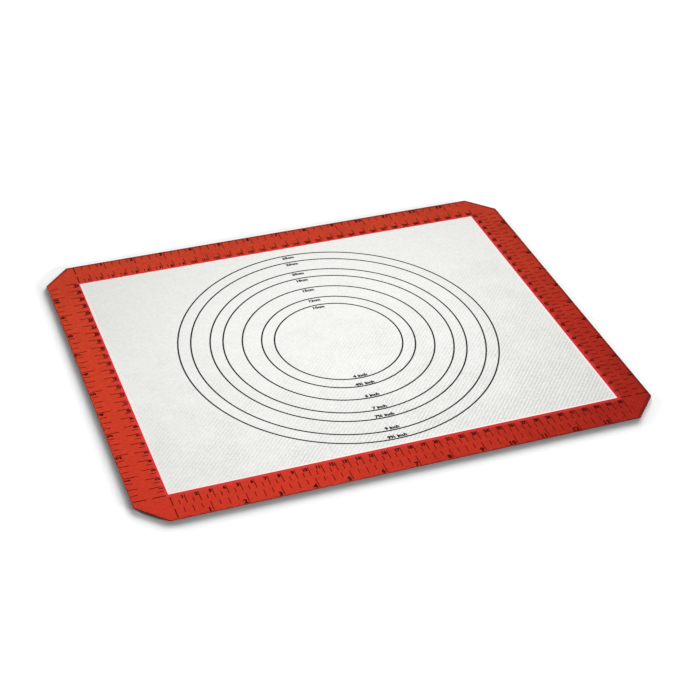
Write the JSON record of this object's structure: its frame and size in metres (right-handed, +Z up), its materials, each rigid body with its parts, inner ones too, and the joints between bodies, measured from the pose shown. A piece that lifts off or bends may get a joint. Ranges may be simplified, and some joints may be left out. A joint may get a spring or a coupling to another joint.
{
  "type": "baking mat",
  "caption": "Flat rectangular baking mat with cut corners: a pale woven silicone sheet with a red border that carries centimetre and inch scales, and printed pastry guide circles.",
  "frame": {"origin": "centre of the mat on the surface that it lies on", "axes": "+X along the long sides to the right, +Y towards the back edge, +Z up out of the printed face"},
  "size_m": [0.4, 0.32, 0.0009],
  "materials": {
    "pale_silicone": "matt silicone over a fine weave",
    "glass_cloth": "woven glass yarn",
    "red_silicone": "matt red silicone over a fine weave",
    "dark_ink": "matt printed silicone ink"
  },
  "bodies": {
    "root": {"bottom_skin": "pale_silicone", "glass_cloth_core": "glass_cloth", "top_skin": "pale_silicone", "red_border": "red_silicone", "edge_seal": "red_silicone", "guide_circle_1": "dark_ink", "guide_circle_2": "dark_ink", "guide_circle_3": "dark_ink", "guide_circle_4": "dark_ink", "guide_circle_5": "dark_ink", "guide_circle_6": "dark_ink", "guide_circle_7": "dark_ink"}
  },
  "joints": []
}
